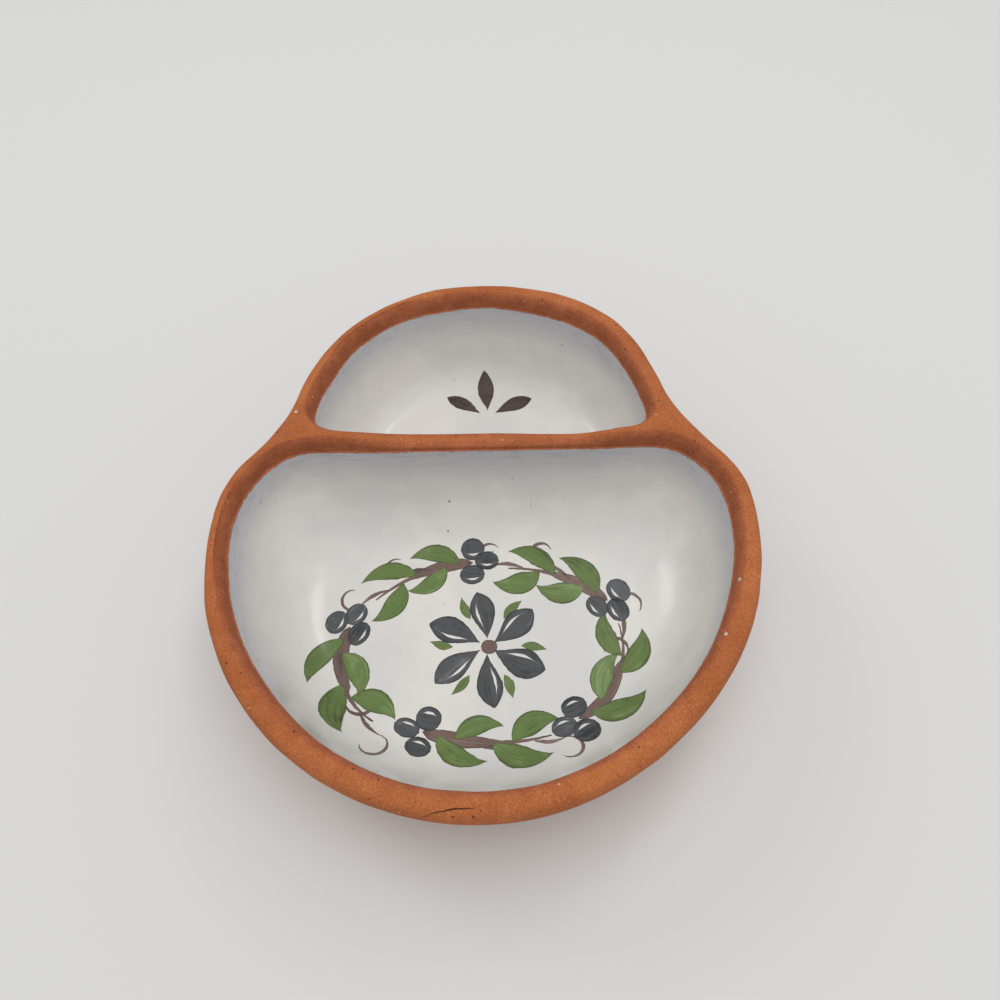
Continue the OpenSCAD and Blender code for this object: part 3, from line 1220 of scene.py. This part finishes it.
def white_glaze():
    sheet = Sheet(bpy.data.materials.new("white glaze"))
    place = sheet.place()
    below = sheet.attribute("below_line")
    runs = sheet.noise(sheet.scaled(place, (0.35, 1, 2.2)), 3 * MM, 3.0, 4.0)
    pinholes = sheet.specks(place, 7 * MM, 0.55 * MM, 0.3)
    fine_pins = sheet.specks(place, 2.9 * MM, 0.36 * MM, 0.16)
    scratches = sheet.specks(sheet.scaled(place, (5.5, 1, 1)), 21 * MM, 2.4 * MM, 0.12)
    # near the glaze line the white turns a darker bluish grey: partly the thin glaze's own tint,
    # partly painted shade on the steep walls
    thin = 1 - sheet.step(below + 5 * (runs - 0.5), 1.0, 15.0)
    teeth = sheet.noise(place, 1.5 * MM, 3.0, 15.0, 0.6)
    drawn = below + 1.1 * (teeth - 0.5)
    edge = 1 - sheet.step(drawn, 0.1, 0.42)
    bare = 1 - sheet.step(drawn, -0.02, 0.05)

    white = sheet.layered(
        ground(sheet, place),
        # darker bluish grey near the edge: thin glaze, and painted shade on the steep walls under
        # the lip
        (thin * 0.8, 192, 192, 198),
        (sheet.step(runs, 0.5, 0.62) * thin * 0.3, 158, 158, 172),
        (scratches * 0.45, 150, 146, 140),
        (edge * 0.75, 150, 118, 112),
        (fine_pins * 0.4, 120, 112, 105),
        (pinholes * 0.75, 84, 76, 70),
    )
    white = sheet.blend(bare, white, clay_red(sheet, place, 1.0)[0])
    relief = glaze_relief(sheet, place) - 0.2 * pinholes - 0.06 * scratches
    varying = {
        "Base Color": white,
        "Roughness": 0.17 + 0.06 * runs + 0.6 * bare,
        "Normal": sheet.bump(relief, glaze_swell),
    }
    return sheet.surface(varying, {"IOR": 1.5})


glaze = white_glaze()
for lining in (bowl_lining, pit_lining):
    lining.data.materials.append(glaze)
print("white glaze:", len(bowl_lining.data.materials[0].node_tree.nodes), "nodes")

# %% [markdown]
# ### Brush colours
#
# The colours are stains in water, so the white shows through where the brush was dry
# and the colour is dark where it pooled: along the mark's outline and at its ends. The
# material reads the UV map, which runs along the mark, for streaks, and the mark's
# own tone, so that no two marks are alike. Berries and petals keep a slit of bare glaze
# as their light.

# %% Brush colours
def brush_colour(name, deep, full, thin, cover, reserve):
    """A stain in three depths. cover is how much paint it has, and reserve is 1 for a slit."""
    sheet = Sheet(bpy.data.materials.new(name))
    place = sheet.place()
    tone = sheet.attribute("tone")
    along, across, _ = sheet.parts(sheet.node("ShaderNodeTexCoord", "UV", {}, {}))
    lane = {0: along * 1.3 + tone * 40, 1: across * 7, 2: tone * 9}
    streaks = sheet.noise(sheet.node("ShaderNodeCombineXYZ", 0, {}, lane), 0.8, 3.0, 2.0, 0.6)
    pools = sheet.noise(place, 4.5 * MM, 2.0, 6.0)
    frayed = sheet.noise(place, 0.9 * MM, 2.0, 8.0)
    side = abs(across - 0.5) * 2 + 0.22 * (frayed - 0.5)
    outline = sheet.step(side, 0.76, 0.94)
    ends = sheet.step(along, 0.86, 0.98) + 1 - sheet.step(along, 0.02, 0.08)
    strength = cover + (streaks - 0.5) + 0.7 * (pools - 0.5) + 0.3 * (tone - 0.5)
    pale = ground(sheet, place)
    wash = sheet.layered(
        pale,
        (sheet.step(strength, -0.05, 0.25), *thin),
        (sheet.step(strength, 0.2, 0.55), *full),
        (sheet.step(strength, 0.6, 1.05), *deep),
        (outline * (0.35 + 0.7 * pools), *deep),
        (ends * 0.5, *deep),
    )
    off_slit = across - 0.64 - 0.55 * (along - 0.1) * (0.95 - along)
    slit_open = sheet.step(along, 0.2, 0.42) * (1 - sheet.step(along, 0.5, 0.8))
    slit = sheet.step(0.052 * slit_open - abs(off_slit), -0.008, 0.008)
    wash = sheet.blend(slit * reserve, wash, pale)
    varying = {
        "Base Color": wash,
        "Roughness": 0.17 + 0.08 * streaks,
        "Normal": sheet.bump(glaze_relief(sheet, place), glaze_swell),
    }
    return sheet.surface(varying, {"IOR": 1.5})


# the piece, the name, the deep, full and thin colour, the cover and the reserve
brush_colours = (
    (stem_paint, "brown stain", (60, 47, 43), (108, 86, 78), (144, 122, 112), 0.6, 0),
    (leaf_paint, "green stain", (54, 68, 30), (94, 116, 58), (124, 146, 94), 0.58, 0),
    (berry_paint, "slate stain", (34, 36, 38), (72, 74, 76), (112, 113, 113), 0.66, 1),
    (pit_paint, "dark brown stain", (44, 32, 32), (76, 60, 58), (112, 94, 90), 0.8, 0),
)
for piece, *recipe in brush_colours:
    piece.data.materials.append(brush_colour(*recipe))
print("brush colours:", [piece.data.materials[0].name for piece, *_ in brush_colours])

# %% [markdown]
# ## Lamps, background and floor
#
# The photograph is lit softly from above and behind, so the wall under the divider
# lies in shade and the front of each floor is bright. A large soft lamp overhead and
# two small windows behind the dish do that. The world fills the shade, and shows a pale
# background only where the camera, or a reflection, looks straight at it.

# %% Studio
bpy.context.scene.view_settings.view_transform = "Standard"
fill_light = (0.46, 0.46, 0.46, 1)
pale_grey = (0.80, 0.80, 0.79, 1)
floor_grey = (0.70, 0.70, 0.69, 1)
floor_r = 1.9
floor_edges = 96


def add_lamp(name, place, power, width, length=None):
    """A lamp that looks at the dish: a window, or a round lamp if it has no length."""
    bpy.ops.object.light_add(type="AREA", location=place)
    lamp = bpy.context.object
    lamp.name = lamp.data.name = name
    lamp.data.shape = "RECTANGLE" if length else "DISK"
    lamp.data.size = width
    if length:
        lamp.data.size_y = length
    lamp.data.energy = power
    lamp.rotation_euler = (-Vector(place)).to_track_quat("-Z", "Y").to_euler()
    return lamp


ceiling = add_lamp("soft ceiling light", (0.14, -0.12, 1.6), 12.7, 1.5)
ceiling.visible_glossy = False
add_lamp("right window", (0.42, 0.6, 1.1), 1.6, 0.3, 0.45)
add_lamp("left window", (-0.75, 0.5, 0.8), 1.3, 0.3, 0.45)

studio = bpy.data.worlds.new("studio")
bpy.context.scene.world = studio
sky = Sheet(studio)
camera_ray, glossy_ray, clear_ray = (
    sky.node("ShaderNodeLightPath", ray, {}, {})
    for ray in ("Is Camera Ray", "Is Glossy Ray", "Is Transmission Ray")
)
looked_at = sky.maths("MINIMUM", camera_ray + glossy_ray + clear_ray, 1.0)
light = sky.blend(looked_at, fill_light, pale_grey)
backdrop = sky.node("ShaderNodeBackground", 0, {}, {"Color": light})
sky.node("ShaderNodeOutputWorld", None, {}, {"Surface": backdrop})

bpy.ops.object.select_all(action="DESELECT")
bpy.ops.mesh.primitive_circle_add(vertices=floor_edges, radius=floor_r, fill_type="NGON")
floor = bpy.context.object
floor.name = floor.data.name = "floor"
floor_sheet = Sheet(bpy.data.materials.new("pale floor"))
floor_finish = floor_sheet.surface({}, {"Base Color": floor_grey, "Roughness": 0.9})
floor.data.materials.append(floor_finish)

# %% Clear the selection
bpy.ops.object.select_all(action="DESELECT")
